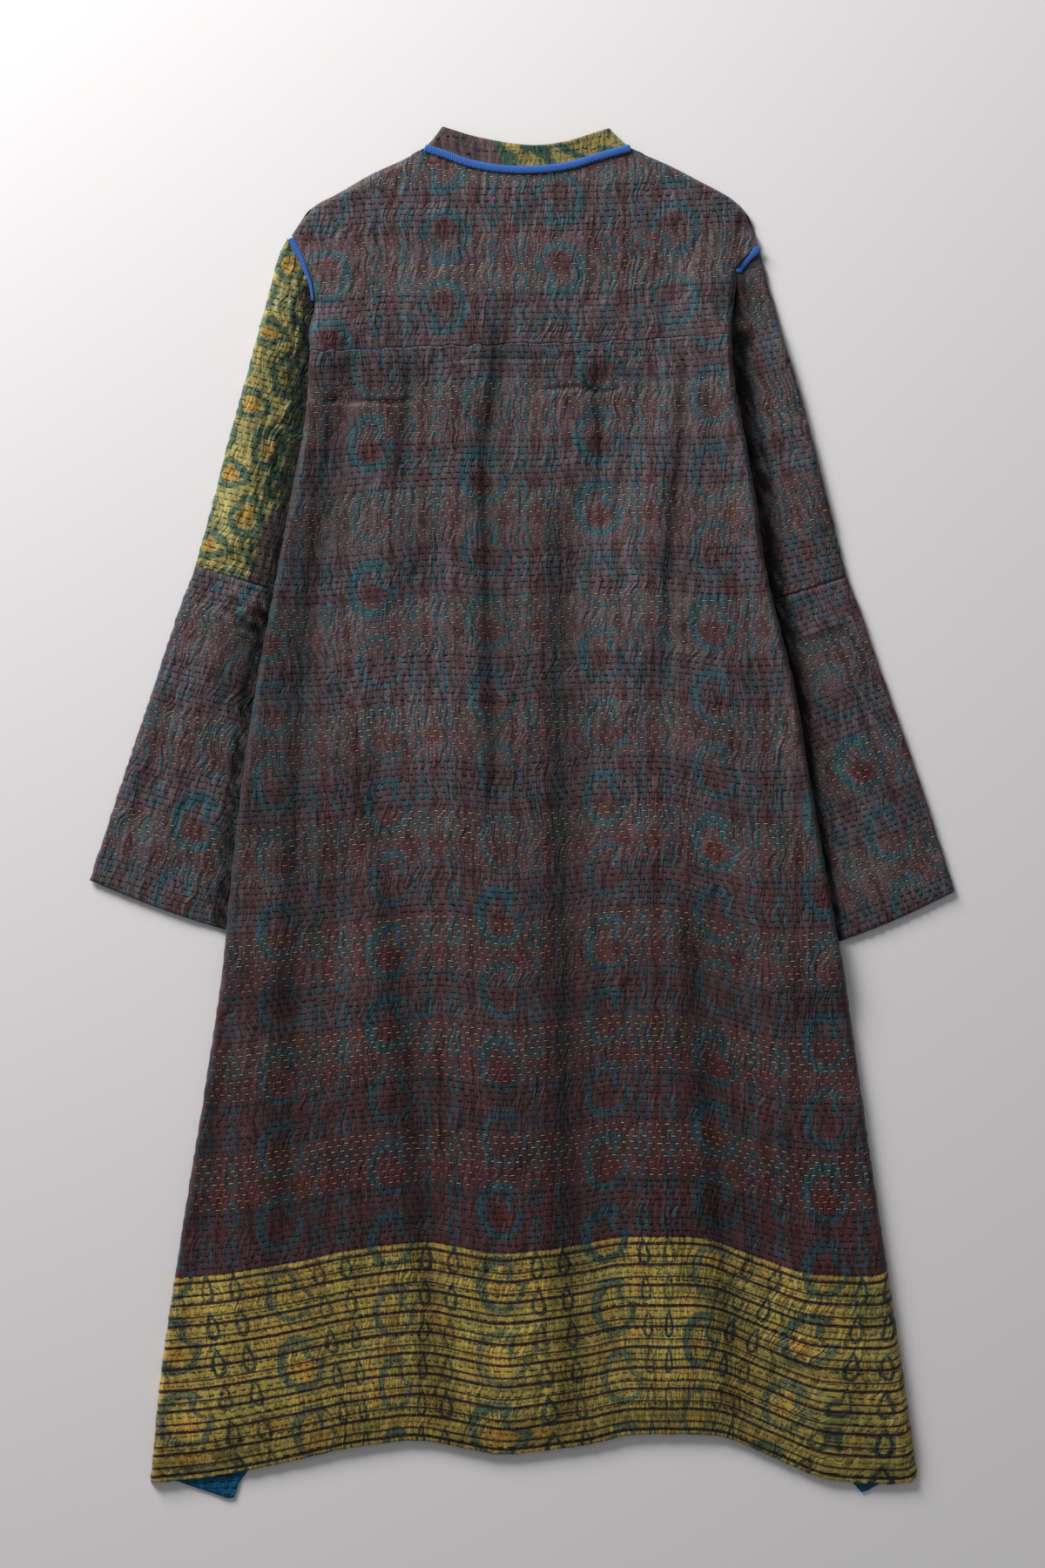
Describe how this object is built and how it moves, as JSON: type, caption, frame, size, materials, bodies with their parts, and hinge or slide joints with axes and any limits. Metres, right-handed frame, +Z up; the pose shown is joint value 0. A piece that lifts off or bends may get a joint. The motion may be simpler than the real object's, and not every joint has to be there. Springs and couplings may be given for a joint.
{
  "type": "quilted kaftan coat laid flat",
  "caption": "Long flared coat of stitched silk with a stand collar and wide sleeves, laid flat with its back up.",
  "frame": {"origin": "middle of the coat's outline, on the surface it lies on", "axes": "+X across the coat to the right as seen from above, +Y from hem to collar, +Z up from the surface"},
  "size_m": [0.7646, 1.2104, 0.0182],
  "materials": {
    "maroon_silk": "slubbed silk, running-stitched, soft sheen",
    "olive_silk": "slubbed silk, running-stitched, soft sheen",
    "teal_reverse": "silk reverse, matt",
    "cobalt_piping": "ribbed cotton cord, matt"
  },
  "bodies": {
    "root": {"back_body": "maroon_silk", "back_yoke": "maroon_silk", "front_left": "teal_reverse", "front_right": "teal_reverse", "sleeve_left_upper": "olive_silk", "sleeve_left_lower": "maroon_silk", "sleeve_right_upper": "maroon_silk", "sleeve_right_lower": "maroon_silk", "collar": "olive_silk", "neck_piping": "cobalt_piping", "armhole_piping_left": "cobalt_piping", "armhole_piping_right": "cobalt_piping"}
  },
  "joints": []
}
